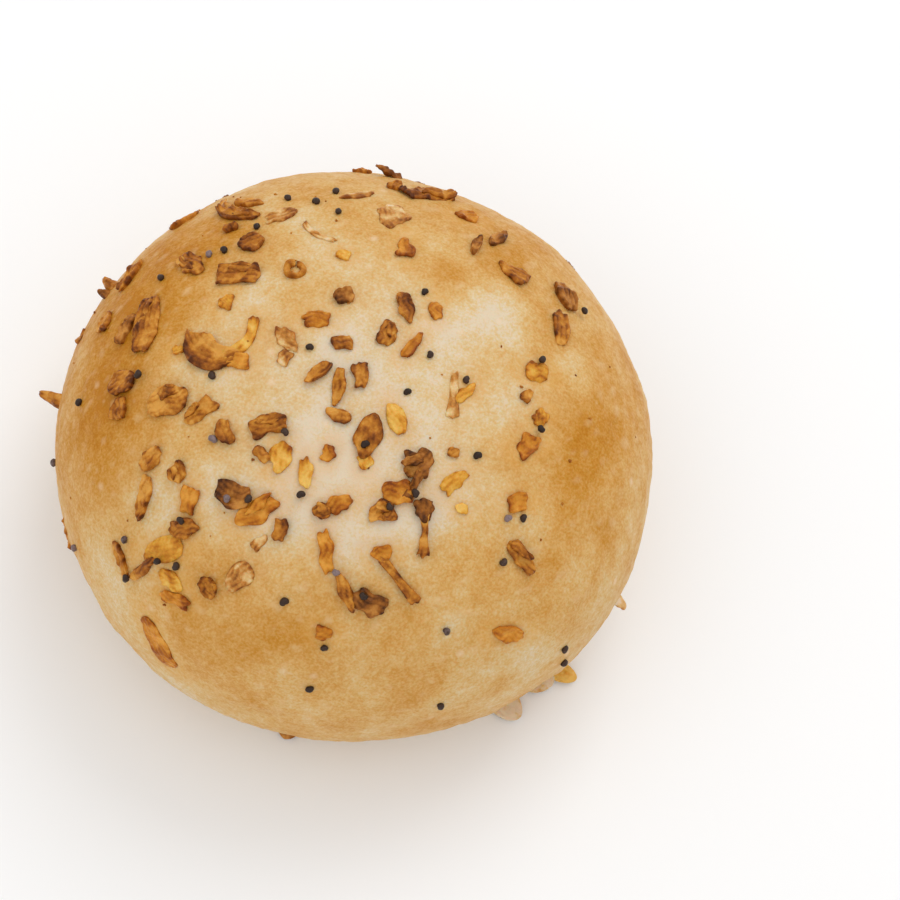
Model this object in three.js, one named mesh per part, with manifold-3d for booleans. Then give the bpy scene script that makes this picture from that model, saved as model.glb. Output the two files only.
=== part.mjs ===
// A round bread roll with toasted onion flakes and poppy seeds baked onto its crust, as one solid.
// Millimetres, +Z up. The origin is the middle of the flat base that the roll rests on.
import * as THREE from "three";
import { mergeVertices } from "three/addons/utils/BufferGeometryUtils.js";
import Module from "manifold-3d";

// The roll: a dome over a rounded underside that the tray has pressed flat.
const rollWidth = 90;
const rollDepth = 88.4;
const rollHeight = 52;
const widestHeight = 20; // height of its widest line above the base
const underDrop = 27; // reach of the lower half below that line, before the base flattens it
const upperFullness = 2.25; // 2 gives an ellipse, more gives a fuller side
const lowerFullness = 2.3;
const baseRounding = 1.5; // the edge of the base is rounded over this height, up and down
const sideWaves = [
  { count: 3, height: 0.2, at: -3 },
  { count: 4, height: 0.21, at: -24 },
  { count: 5, height: 0.18, at: -29 },
];
const crustDetail = 12; // splits of each edge of the starting icosahedron
const smallestDetail = 0.05; // edges that the joins leave shorter than this are closed up

// The toppings.
const flakeSink = 0.7; // a flake reaches this deep into the crust
const flakeThickness = { brown: 1.0, dark: 1.1, orange: 0.8, golden: 0.7, pale: 0.6 };
const flakeStep = 2.4; // longest stretch of a flake between two cross-sections
const flakeTurn = 40; // most that a curled flake turns between them, in degrees
const tipWidth = 0.5; // width of a flake's ends, as a share of its middle
const topWidth = 0.76; // width of a flake's top, as a share of its foot
const tipThinning = 0.4; // share of its thickness that such a flake loses towards its tip
const groundGap = 0.1; // a flake under the edge of the base stays this far off the ground
const widthSpread = 0.15; // a flake's width and thickness vary by up to these shares along it
const thicknessSpread = 0.3;
const spurSections = [-0.3, 0.25, 0.65, 1]; // shares of its length, from inside the crust to its tip
const baseFlakeSections = [0, 0.4, 0.75, 1];
const seedSize = { long: 1.25, wide: 1.0, high: 0.95 };
const seedSink = 0.25; // share of a seed's height that lies in the crust

// Places are leans from the crown, in degrees to the right and to the back of it.
// Flakes: right, back, length, width, turn of the length from "right" to "back", bend along it, kind.
const placedFlakes = [
  // the large curls left of the crown
  [-30.8, -2.4, 10.8, 4.3, -22, 92, "brown"],
  [-23.5, 0.5, 8.5, 1.7, 66, 80, "golden"],
  [-24.5, -3.5, 3.7, 2.7, 12, 0, "orange"],
  [-45.5, 4, 9.5, 4.4, 90, 10, "brown"],
  [-50.5, 3.5, 4.6, 1.7, 67, 0, "dark"],
  [-36.5, -12.5, 6.0, 4.8, 25, 0, "brown"],
  [-29.5, -14, 4.7, 2.8, 40, 20, "brown"],
  [-48.5, -8.5, 5.0, 3.8, 20, 0, "brown"],
  [-48, -14, 3.4, 2.9, 90, 0, "brown"],
  // back left
  [-36, 34.5, 11.0, 2.5, -38, 80, "brown"],
  [-32.5, 37.5, 5.0, 2.2, -12, 0, "brown"],
  [-28, 23.5, 4.1, 3.1, 27, 0, "brown"],
  [-39, 18, 4.8, 3.6, -40, 30, "brown"],
  [-28.5, 15, 6.4, 3.6, 7, 0, "brown"],
  [-18, 15.5, 7.2, 1.0, 0, 330, "brown"],
  [-56.5, 20.5, 6.4, 2.3, 72, 20, "brown"],
  [-59, 7.5, 3.6, 2.5, 75, 0, "brown"],
  [-50, 39, 5.2, 2.2, 49, 0, "brown"],
  [-29, 8.5, 2.6, 2.0, 80, 0, "golden"],
  [-16, 27, 6.5, 0.9, 150, -60, "pale"],
  [-10.5, 41.5, 5.6, 1.9, 35, 20, "pale"],
  [-24, 32, 5.0, 2.6, 30, 0, "pale"],
  [-2.5, 36.5, 5.6, 4.6, 80, 0, "pale"],
  [3.5, 50.5, 8.8, 3.8, 32, -12, "brown"],
  [-3.5, 49, 2.6, 1.7, 20, 0, "brown"],
  [-12.5, 62, 3.2, 1.4, 8, 0, "brown"],
  // round the crown
  [-8, 12.5, 2.9, 2.4, 30, 0, "dark"],
  [-12, 7, 3.8, 2.7, 5, 0, "orange"],
  [-6.5, 3, 2.9, 2.4, 20, 0, "brown"],
  [-16.5, 2, 4.9, 2.5, -48, 0, "pale"],
  [1, 28, 4.6, 2.5, 95, 0, "orange"],
  [3.5, 13.5, 4.8, 2.7, 112, 0, "brown"],
  [9, 14, 3.1, 2.2, 95, 0, "orange"],
  [1, 7, 4.0, 3.0, 88, 0, "brown"],
  [6, 5.5, 4.7, 1.6, 66, 0, "orange"],
  [-9.5, -3.5, 4.7, 1.9, 48, 0, "brown"],
  [-2, -2.5, 4.0, 2.3, 105, 0, "brown"],
  [-5.5, -5.5, 6.0, 1.9, 97, 0, "brown"],
  [-4.5, -11, 3.7, 2.3, -15, 0, "brown"],
  [1.5, -14, 6.6, 3.8, 82, -20, "brown"],
  [2, -18.5, 2.6, 2.2, 95, 0, "golden"],
  [6, -9.5, 4.9, 2.8, 122, 0, "golden"],
  [15, -2, 7.4, 1.5, 98, 0, "pale"],
  [17, -1, 4.1, 1.8, 54, 0, "golden"],
  // back right
  [12.5, 44, 3.4, 3.2, 20, 0, "orange"],
  [14.5, 33, 4.4, 1.6, 82, 0, "dark"],
  [19, 38, 5.6, 2.0, 62, 0, "dark"],
  [22.5, 29, 5.0, 3.1, -22, 0, "brown"],
  [35, 30, 5.0, 3.6, 115, 0, "dark"],
  [34, 20.5, 6.0, 2.8, 100, 0, "brown"],
  [30, 8, 3.7, 3.4, 20, 0, "golden"],
  [32, -1, 2.7, 2.5, 60, 0, "golden"],
  [30.5, -7, 4.2, 3.1, 40, 0, "orange"],
  // front left
  [-16.5, -15, 5.2, 3.2, 22, 0, "brown"],
  [-24, -17.5, 3.8, 2.2, 116, 0, "brown"],
  [-16.5, -20.5, 2.8, 1.9, -35, 0, "brown"],
  [-13, -20.5, 4.3, 3.4, 90, 0, "golden"],
  [-8, -22.5, 4.2, 2.1, 100, 0, "golden"],
  [-20.5, -28.5, 5.4, 3.5, -5, 0, "dark"],
  [-15.5, -31, 6.6, 3.6, 35, 0, "orange"],
  [-38.5, -24, 4.2, 2.7, 45, 0, "brown"],
  [-32, -26, 3.3, 2.4, 110, 0, "brown"],
  [-29, -31, 4.0, 2.6, 85, 0, "orange"],
  [-39.5, -32, 6.8, 2.3, 82, 10, "brown"],
  [-29.5, -36.5, 4.7, 2.9, 0, 0, "brown"],
  [-10.5, -33.5, 3.1, 2.2, 85, 0, "brown"],
  [-34.3, -42, 7.6, 3.4, 22, 0, "golden"],
  [-46.7, -46.5, 5.4, 1.8, -66, 0, "brown"],
  [-39.5, -47, 6.4, 1.6, 40, 0, "brown"],
  [-32, -48, 4.2, 2.7, -30, 0, "golden"],
  [-31, -52, 4.9, 2.0, -8, 0, "orange"],
  [-23, -47.5, 3.4, 2.6, 110, 0, "brown"],
  [-17, -44, 4.6, 3.6, 60, 0, "pale"],
  [-39, -67.5, 9.2, 3.9, -72, 0, "orange"],
  // front right
  [-1, -27, 4.0, 2.7, 35, 0, "orange"],
  [-3.8, -28.8, 2.8, 2.3, 10, 0, "brown"],
  [11.5, -16.7, 4.8, 3.9, 50, 0, "dark"],
  [11.5, -21, 4.4, 1.6, 75, 0, "dark"],
  [9, -23, 4.2, 3.3, 15, 0, "orange"],
  [7, -27, 3.8, 3.0, 20, 0, "brown"],
  [18.5, -18, 4.6, 2.2, 55, 0, "golden"],
  [14.5, -25, 3.2, 2.6, -75, 0, "dark"],
  [15.5, -29.5, 6.0, 1.4, -80, 0, "brown"],
  [8.5, -34.5, 3.2, 2.5, 12, 0, "orange"],
  [13.2, -39, 8.2, 1.5, -38, 0, "brown"],
  [-1.6, -36, 6.2, 2.1, -70, 0, "orange"],
  [3.5, -43, 6.6, 1.9, -58, 0, "brown"],
  [8.5, -44.2, 5.0, 3.3, -15, 0, "dark"],
  [31, -18, 3.2, 2.9, 30, 0, "orange"],
  [35.5, -28, 5.9, 2.6, -34, 0, "brown"],
  [40, -44.5, 5.2, 2.6, 5, 0, "orange"],
  [1.3, -52.5, 2.4, 2.1, 0, 0, "orange"],
];

// Pieces that stand out from the side: right, back, length, width, turn, rise out of the crust, kind.
const spurs = [
  [-80, -7, 4.9, 2.3, 150, 40, "brown"],
  [-84, -42, 4.8, 1.3, 245, 8, "brown"],
  [-4, 60, 4.0, 1.8, 200, 25, "dark"],
  [-65, 21.5, 3.0, 2.0, 140, 35, "brown"],
  [-66, 19.5, 2.4, 1.6, 155, 35, "dark"],
  [-72, 9.5, 2.2, 2.2, 190, 12, "brown"],
  [89, -28, 2.2, 1.8, -20, 50, "pale"],
];

// Pieces caught under the edge of the base: direction round the roll, then how far from its middle
// they start and end.
const baseFlakes = [
  { direction: -41.5, from: 33, to: 44, wide: 5.6, kind: "pale" },
  { direction: -32.3, from: 33, to: 43.6, wide: 5.4, kind: "pale" },
  { direction: -27, from: 34, to: 45, wide: 3.4, kind: "golden" },
  { direction: -92, from: 32.5, to: 39.8, wide: 5.0, kind: "dark" },
];

// Poppy seeds: right, back.
const placedSeeds = [
  [-28, 28], [-36, 20.5], [-33, 21.5], [-45, 15], [-15, 42], [-18, 37], [-24, 38], [-13, 34],
  [-12, 1], [-28.5, -7], [-43.5, -7.5], [-13, -16], [-26, -19], [-8, -26.5], [-17, -29],
  [-21, -29.5], [-29.7, -35], [-34.5, -44], [-30.5, -44.5], [-44, -50], [-45, -41.5],
  [-7.5, -47], [-62, -11.5], [6.3, 17.7], [9.5, 4.5], [30.3, 10.5], [16.7, 1.5], [6.7, -3.7],
  [1.3, -15.7], [12, -22.5], [21.3, -12], [8, -26], [1, -39.5], [7, -43], [25.7, -47],
  [2, -56], [1, -68.5], [34.5, -69], [33, -20.5], [30, -21.5], [32, -30], [32, -3.5],
  [62, -46], [70, -51], [-82.5, -23.5], [-71.5, -47.5], [39, 27.5],
];

// The far side of the roll gets its toppings by a rule.
const scatter = {
  flakes: 11,
  seeds: 7,
  nearest: 6, // degrees between two toppings
  leanFrom: 76,
  leanTo: 98,
  directionFrom: 52, // round the back of the roll, anticlockwise seen from above
  directionTo: 130,
  shortest: 2.4,
  longest: 6.0,
  seed: 411,
};

const degrees = Math.PI / 180;
const slopeStep = 0.5; // half the stretch, in degrees of lean, that the crust's slope is measured over

// The same run of numbers from 0 to 1 for the same seed.
function randomFrom(seed) {
  let state = seed >>> 0;
  return () => {
    state = (state + 0x6d2b79f5) >>> 0;
    let mixed = Math.imul(state ^ (state >>> 15), state | 1);
    mixed ^= mixed + Math.imul(mixed ^ (mixed >>> 7), mixed | 61);
    return ((mixed ^ (mixed >>> 14)) >>> 0) / 4294967296;
  };
}

function vary(random, spread) {
  return 1 + spread * (2 * random() - 1);
}

function outlineRadius(angle) {
  const across = (rollDepth / 2) * Math.cos(angle);
  const along = (rollWidth / 2) * Math.sin(angle);
  let radius = ((rollWidth / 2) * (rollDepth / 2)) / Math.hypot(across, along);
  for (const { count, height, at } of sideWaves)
    radius += height * Math.cos(count * (angle - at * degrees));
  return radius;
}

// The point of the crust in a direction whose three parts are shares of the roll's own half sizes.
function crustPoint(x, y, z) {
  const angle = Math.atan2(y, x);
  const out = Math.hypot(x, y);
  const fullness = z >= 0 ? upperFullness : lowerFullness;
  const reach = z >= 0 ? rollHeight - widestHeight : underDrop;
  const size = (out ** fullness + Math.abs(z) ** fullness) ** (1 / fullness);
  const radius = (outlineRadius(angle) * out) / size;
  let height = widestHeight + (reach * z) / size;
  if (height < -baseRounding) height = 0;
  else if (height < baseRounding) height = (height + baseRounding) ** 2 / (4 * baseRounding);
  return new THREE.Vector3(radius * Math.cos(angle), radius * Math.sin(angle), height);
}

// The point of the crust straight out from the roll's middle through a point near it.
function nearCrust(point) {
  const radius = outlineRadius(Math.atan2(point.y, point.x));
  const rise = point.z - widestHeight;
  const reach = rise >= 0 ? rollHeight - widestHeight : underDrop;
  return crustPoint(point.x / radius, point.y / radius, rise / reach);
}

// The crust's point at a lean from the crown, in degrees, along a direction round the roll.
function crustAtLean(lean, around) {
  const out = Math.sin(lean * degrees);
  return crustPoint(out * Math.cos(around), out * Math.sin(around), Math.cos(lean * degrees));
}

// Where a topping lies: its point on the crust, the crust's outward normal there, and the
// directions "right" and "back" along the crust.
function placeOnCrust(right, back) {
  const around = Math.atan2(back, right);
  const lean = Math.hypot(right, back);
  const point = crustAtLean(lean, around);
  const outward = crustAtLean(lean + slopeStep, around);
  outward.sub(crustAtLean(lean - slopeStep, around)).normalize();
  const sideways = new THREE.Vector3(-Math.sin(around), Math.cos(around), 0);
  const normal = outward.clone().cross(sideways).normalize();
  const toRight = outward.clone().multiplyScalar(Math.cos(around));
  toRight.addScaledVector(sideways, -Math.sin(around));
  const toBack = outward.clone().multiplyScalar(Math.sin(around));
  toBack.addScaledVector(sideways, Math.cos(around));
  return { point, normal, toRight, toBack };
}

// A closed solid from cross-sections of four corners each: top left, top right, bottom right and
// bottom left, for someone who looks along the piece.
function solidFromSections(sections) {
  const corners = sections.flat();
  const faces = [];
  const quad = (a, b, c, d) => faces.push(a, b, c, a, c, d);
  for (let i = 0; i + 1 < sections.length; i += 1)
    for (let j = 0; j < 4; j += 1) {
      const next = (j + 1) % 4;
      quad(4 * i + j, 4 * i + next, 4 * (i + 1) + next, 4 * (i + 1) + j);
    }
  const last = 4 * (sections.length - 1);
  quad(3, 2, 1, 0);
  quad(last, last + 1, last + 2, last + 3);
  const geometry = new THREE.BufferGeometry();
  geometry.setAttribute(
    "position",
    new THREE.Float32BufferAttribute(corners.flatMap((p) => p.toArray()), 3),
  );
  geometry.setIndex(faces);
  return geometry;
}

// A flake: a ribbon that follows the crust, curved in its own plane and narrower at its ends.
function flakeGeometry([right, back, long, wide, turn, bend, kind], random) {
  const place = placeOnCrust(right, back);
  const segments = Math.max(2, Math.ceil(long / flakeStep), Math.ceil(Math.abs(bend) / flakeTurn));
  const thickness = flakeThickness[kind];
  const sections = [];
  for (let i = 0; i <= segments; i += 1) {
    const along = i / segments - 0.5;
    const turned = bend * along * degrees;
    const heading = turn * degrees + turned;
    // The stretch from the flake's middle to this cross-section is the chord of an arc.
    const chord = long * along * (turned === 0 ? 1 : Math.sin(turned / 2) / (turned / 2));
    const chordHeading = turn * degrees + turned / 2;
    const middle = new THREE.Vector2(Math.cos(chordHeading), Math.sin(chordHeading));
    middle.multiplyScalar(chord);
    const side = new THREE.Vector2(-Math.sin(heading), Math.cos(heading));
    const taper = 1 - (1 - tipWidth) * Math.abs(2 * along) ** 3;
    const half = (wide / 2) * taper * vary(random, widthSpread);
    const liftLeft = thickness * vary(random, thicknessSpread);
    const liftRight = thickness * vary(random, thicknessSpread);
    const corner = (across, height) => {
      const spot = middle.clone().addScaledVector(side, across);
      const near = place.point.clone();
      near.addScaledVector(place.toRight, spot.x).addScaledVector(place.toBack, spot.y);
      const foot = nearCrust(near);
      foot.addScaledVector(place.normal, height);
      return foot;
    };
    sections.push([
      corner(half * topWidth, liftLeft),
      corner(-half * topWidth, liftRight),
      corner(-half, -flakeSink),
      corner(half, -flakeSink),
    ]);
  }
  return solidFromSections(sections);
}

// A spur: a straight tapering piece that leaves the crust at a slant.
function spurGeometry([right, back, long, wide, turn, rise, kind]) {
  const place = placeOnCrust(right, back);
  const heading = turn * degrees;
  const slant = rise * degrees;
  const ahead = place.toRight.clone().multiplyScalar(Math.cos(heading));
  ahead.addScaledVector(place.toBack, Math.sin(heading));
  const side = place.normal.clone().cross(ahead).normalize();
  const out = ahead.clone().multiplyScalar(Math.cos(slant)).addScaledVector(place.normal, Math.sin(slant));
  const across = out.clone().cross(side).normalize();
  const half = flakeThickness[kind] / 2;
  const sections = spurSections.map((share) => {
    const middle = place.point.clone().addScaledVector(out, share * long);
    const halfWidth = (wide / 2) * (1 - (1 - tipWidth) * Math.max(share, 0) ** 2);
    const corner = (sideways, up) =>
      middle.clone().addScaledVector(side, sideways).addScaledVector(across, up);
    return [
      corner(halfWidth, half),
      corner(-halfWidth, half),
      corner(-halfWidth, -half),
      corner(halfWidth, -half),
    ];
  });
  return solidFromSections(sections);
}

// A piece that lies flat on the ground and reaches in under the roll's rounded edge.
function baseFlakeGeometry({ direction, from, to, wide, kind }) {
  const out = new THREE.Vector3(Math.cos(direction * degrees), Math.sin(direction * degrees), 0);
  const side = new THREE.Vector3(-out.y, out.x, 0);
  const thickness = 2 * flakeThickness[kind];
  const sections = baseFlakeSections.map((share) => {
    const middle = out.clone().multiplyScalar(from + (to - from) * share);
    const half = (wide / 2) * (1 - (1 - tipWidth) * share ** 3);
    const corner = (sideways, height) =>
      middle.clone().addScaledVector(side, sideways).setZ(height);
    const top = thickness * (1 - tipThinning * share);
    return [
      corner(half * topWidth, top),
      corner(-half * topWidth, top),
      corner(-half, groundGap),
      corner(half, groundGap),
    ];
  });
  return solidFromSections(sections);
}

function seedGeometry([right, back], random) {
  const place = placeOnCrust(right, back);
  const geometry = new THREE.IcosahedronGeometry(0.5, 0);
  geometry.rotateZ(2 * Math.PI * random());
  geometry.scale(seedSize.long, seedSize.wide, seedSize.high);
  const turned = new THREE.Matrix4().makeBasis(place.toRight, place.toBack, place.normal);
  turned.setPosition(place.point.addScaledVector(place.normal, seedSize.high * (0.5 - seedSink)));
  return geometry.applyMatrix4(turned);
}

// Places and sizes for the far side's toppings, none nearer to another than the rule allows.
function scatterToppings(rule, taken) {
  const random = randomFrom(rule.seed);
  const flakes = [];
  const seeds = [];
  const kinds = ["brown", "brown", "dark", "orange", "golden"];
  const free = (right, back) =>
    taken.every(([r, b]) => Math.hypot(r - right, b - back) > rule.nearest);
  while (flakes.length < rule.flakes || seeds.length < rule.seeds) {
    const lean = rule.leanFrom + (rule.leanTo - rule.leanFrom) * random() ** 1.4;
    const around = (rule.directionFrom + (rule.directionTo - rule.directionFrom) * random()) * degrees;
    const right = lean * Math.cos(around);
    const back = lean * Math.sin(around);
    const long = rule.shortest + (rule.longest - rule.shortest) * random() ** 1.5;
    const slim = 0.4 + 0.35 * random();
    const turn = 180 * random();
    const kind = kinds[Math.floor(kinds.length * random())];
    if (!free(right, back)) continue;
    taken.push([right, back]);
    if (flakes.length < rule.flakes) flakes.push([right, back, long, long * slim, turn, 0, kind]);
    else seeds.push([right, back]);
  }
  return { flakes, seeds };
}

const wasm = await Module();
wasm.setup();

function solidOf(geometry) {
  geometry.deleteAttribute("normal");
  geometry.deleteAttribute("uv");
  const merged = mergeVertices(geometry);
  return new wasm.Manifold(
    new wasm.Mesh({
      numProp: 3,
      vertProperties: merged.attributes.position.array,
      triVerts: new Uint32Array(merged.index.array),
    }),
  );
}

function geometryOf(solid) {
  const { vertProperties, triVerts } = solid.getMesh();
  const geometry = new THREE.BufferGeometry();
  geometry.setAttribute("position", new THREE.BufferAttribute(vertProperties, 3));
  geometry.setIndex(new THREE.BufferAttribute(triVerts, 1));
  geometry.computeVertexNormals();
  return geometry;
}

function crustGeometry() {
  const geometry = new THREE.IcosahedronGeometry(1, crustDetail);
  const position = geometry.attributes.position;
  for (let i = 0; i < position.count; i += 1) {
    const spot = crustPoint(position.getX(i), position.getY(i), position.getZ(i));
    position.setXYZ(i, spot.x, spot.y, spot.z);
  }
  return geometry;
}

function buildRoll() {
  const random = randomFrom(27);
  const taken = [...placedFlakes, ...placedSeeds].map(([right, back]) => [right, back]);
  const scattered = scatterToppings(scatter, taken);
  const toppings = [
    ...[...placedFlakes, ...scattered.flakes].map((flake) => flakeGeometry(flake, random)),
    ...spurs.map(spurGeometry),
    ...baseFlakes.map(baseFlakeGeometry),
    ...[...placedSeeds, ...scattered.seeds].map((seed) => seedGeometry(seed, random)),
  ];
  let roll = solidOf(crustGeometry());
  for (const topping of toppings) roll = roll.add(solidOf(topping));
  // The largest body is the roll: a scrap that touches nothing, or a hollow sealed in, isn't part of it.
  const bodies = roll.simplify(smallestDetail).decompose();
  bodies.sort((a, b) => b.volume() - a.volume());
  return geometryOf(bodies[0]);
}

const bread = new THREE.MeshStandardMaterial({ color: 0xd0a267, roughness: 0.55, metalness: 0 });
const mesh = new THREE.Mesh(buildRoll(), bread);
mesh.name = "bread_roll";

const roll = new THREE.Group();
roll.add(mesh);
export default roll;
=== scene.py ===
import math

import bpy
import numpy as np
from mathutils import Matrix, Vector


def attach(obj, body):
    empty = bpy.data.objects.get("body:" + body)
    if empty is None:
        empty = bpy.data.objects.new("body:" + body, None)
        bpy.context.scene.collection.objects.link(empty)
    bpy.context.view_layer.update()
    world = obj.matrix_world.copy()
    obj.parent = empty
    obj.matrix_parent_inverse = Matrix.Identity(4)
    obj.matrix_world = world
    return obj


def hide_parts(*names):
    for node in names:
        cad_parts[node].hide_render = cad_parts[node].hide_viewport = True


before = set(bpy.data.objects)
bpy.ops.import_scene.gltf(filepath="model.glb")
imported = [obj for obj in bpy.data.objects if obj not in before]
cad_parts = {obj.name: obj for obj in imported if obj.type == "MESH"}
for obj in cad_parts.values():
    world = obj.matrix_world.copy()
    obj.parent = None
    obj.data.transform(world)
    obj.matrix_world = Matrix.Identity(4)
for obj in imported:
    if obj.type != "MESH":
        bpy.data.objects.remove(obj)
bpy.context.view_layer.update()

mm = 0.001


def addToScene(name, data):
    thing = bpy.data.objects.new(name, data)
    bpy.context.scene.collection.objects.link(thing)
    return thing


# Camera
cameraView = {
    "target": (0.0, 0.0, 22.0),  # mm
    "elevation": 66.0,  # degrees above the horizon, looking along +Y
    "roll": 12.0,  # the crown leans to the right in the picture
    "distance": 400.0,  # mm
    "lookAside": 14.15,  # mm right of the target, so that the roll stands left of the middle
    "lens": 105.9,
    "clip": (0.01, 20.0),  # m
}


def addCamera(view):
    elevation = math.radians(view["elevation"])
    roll = math.radians(view["roll"])
    back = Vector((0.0, -math.cos(elevation), math.sin(elevation)))
    levelRight = Vector((1.0, 0.0, 0.0))
    levelUp = back.cross(levelRight)
    right = levelRight * math.cos(roll) + levelUp * math.sin(roll)
    target = Vector(view["target"]) * mm
    eye = target + back * view["distance"] * mm
    aim = target + right * view["lookAside"] * mm
    zAxis = (eye - aim).normalized()
    xAxis = (right - zAxis * right.dot(zAxis)).normalized()
    yAxis = zAxis.cross(xAxis)
    data = bpy.data.cameras.new("camera")
    data.lens = view["lens"]
    data.clip_start, data.clip_end = view["clip"]
    camera = addToScene("camera", data)
    turned = Matrix((xAxis, yAxis, zAxis)).transposed().to_4x4()
    camera.matrix_world = Matrix.Translation(eye) @ turned
    bpy.context.scene.camera = camera


addCamera(cameraView)
print("camera placed")


# The roll's form, the same as the solid's, in mm
rollForm = {
    "width": 90.0,
    "depth": 88.4,
    "height": 52.0,
    "widest": 20.0,  # height of the widest line
    "underDrop": 27.0,
    "upperFullness": 2.25,
    "lowerFullness": 2.3,
    "baseRounding": 1.5,
    "sideWaves": [(3, 0.2, -3.0), (4, 0.21, -24.0), (5, 0.18, -29.0)],  # count, height, at degrees
}


def outlineRadius(angle):
    across = rollForm["depth"] / 2 * np.cos(angle)
    along = rollForm["width"] / 2 * np.sin(angle)
    radius = rollForm["width"] / 2 * rollForm["depth"] / 2 / np.hypot(across, along)
    for count, height, at in rollForm["sideWaves"]:
        radius = radius + height * np.cos(count * (angle - math.radians(at)))
    return radius


def halves(upper):  # how full the roll is and how far it reaches, over and under its widest line
    fullness = np.where(upper, rollForm["upperFullness"], rollForm["lowerFullness"])
    reach = np.where(upper, rollForm["height"] - rollForm["widest"], rollForm["underDrop"])
    return fullness, reach


def crustPoint(direction):  # rows of x, y, z as shares of the roll's half sizes
    angle = np.arctan2(direction[:, 1], direction[:, 0])
    out = np.hypot(direction[:, 0], direction[:, 1])
    z = direction[:, 2]
    fullness, reach = halves(z >= 0)
    size = (out**fullness + np.abs(z) ** fullness) ** (1 / fullness)
    radius = outlineRadius(angle) * out / size
    height = rollForm["widest"] + reach * z / size
    rounding = rollForm["baseRounding"]
    rounded = (height + rounding) ** 2 / (4 * rounding)
    height = np.where(height < -rounding, 0.0, np.where(height < rounding, rounded, height))
    return np.column_stack([radius * np.cos(angle), radius * np.sin(angle), height])


def nearCrust(points):  # straight out from the roll's middle
    radius = outlineRadius(np.arctan2(points[:, 1], points[:, 0]))
    rise = points[:, 2] - rollForm["widest"]
    return crustPoint(np.column_stack([points[:, :2] / radius[:, None], rise / halves(rise >= 0)[1]]))


def crustNormal(points):
    angle = np.arctan2(points[:, 1], points[:, 0])
    radius = outlineRadius(angle)
    out = np.hypot(points[:, 0], points[:, 1])
    rise = points[:, 2] - rollForm["widest"]
    fullness, reach = halves(rise >= 0)
    sideways = (out / radius) ** (fullness - 1) / radius
    upward = np.sign(rise) * (np.abs(rise) / reach) ** (fullness - 1) / reach
    base = 1 - smooth(points[:, 2], 0.0, 2 * rollForm["baseRounding"])
    sideways = sideways * (1 - base)
    normal = np.column_stack([sideways * np.cos(angle), sideways * np.sin(angle), upward])
    return normal / np.linalg.norm(normal, axis=1, keepdims=True)


def smooth(value, low, high):
    share = np.clip((value - low) / (high - low), 0.0, 1.0)
    return share * share * (3 - 2 * share)


def crustAtLean(lean, around):  # degrees from the crown, radians round the roll
    tilt = math.radians(lean)
    out = math.sin(tilt)
    return crustPoint(np.array([[out * math.cos(around), out * math.sin(around), math.cos(tilt)]]))[0]


def placeOnCrust(right, back):
    around = math.atan2(back, right)
    lean = math.hypot(right, back)
    point = crustAtLean(lean, around)
    outward = crustAtLean(lean + 0.5, around) - crustAtLean(lean - 0.5, around)
    outward = outward / np.linalg.norm(outward)
    sideways = np.array([-math.sin(around), math.cos(around), 0.0])
    return {
        "point": point,
        "normal": np.cross(outward, sideways),
        "toRight": outward * math.cos(around) - sideways * math.sin(around),
        "toBack": outward * math.sin(around) + sideways * math.cos(around),
    }


def wayOnCrust(place, turn):  # turn in radians from the right towards the back
    return place["toRight"] * math.cos(turn) + place["toBack"] * math.sin(turn)


def waveNoise(points, size, seed, waves=26):  # a smooth random field, mostly between -2 and 2
    random = np.random.default_rng(seed)
    directions = random.normal(size=(waves, 3))
    directions /= np.linalg.norm(directions, axis=1, keepdims=True)
    lengths = 2 * math.pi / size * random.uniform(0.55, 1.45, size=(waves, 1))
    phases = random.uniform(0, 2 * math.pi, size=waves)
    return np.cos(points @ (directions * lengths).T + phases).sum(axis=1) / math.sqrt(waves / 2)


def layeredNoise(points, layers, seed):  # each layer is its strength and its size in mm
    return sum(strength * waveNoise(points, size, seed + k) for k, (strength, size) in enumerate(layers))


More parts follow.
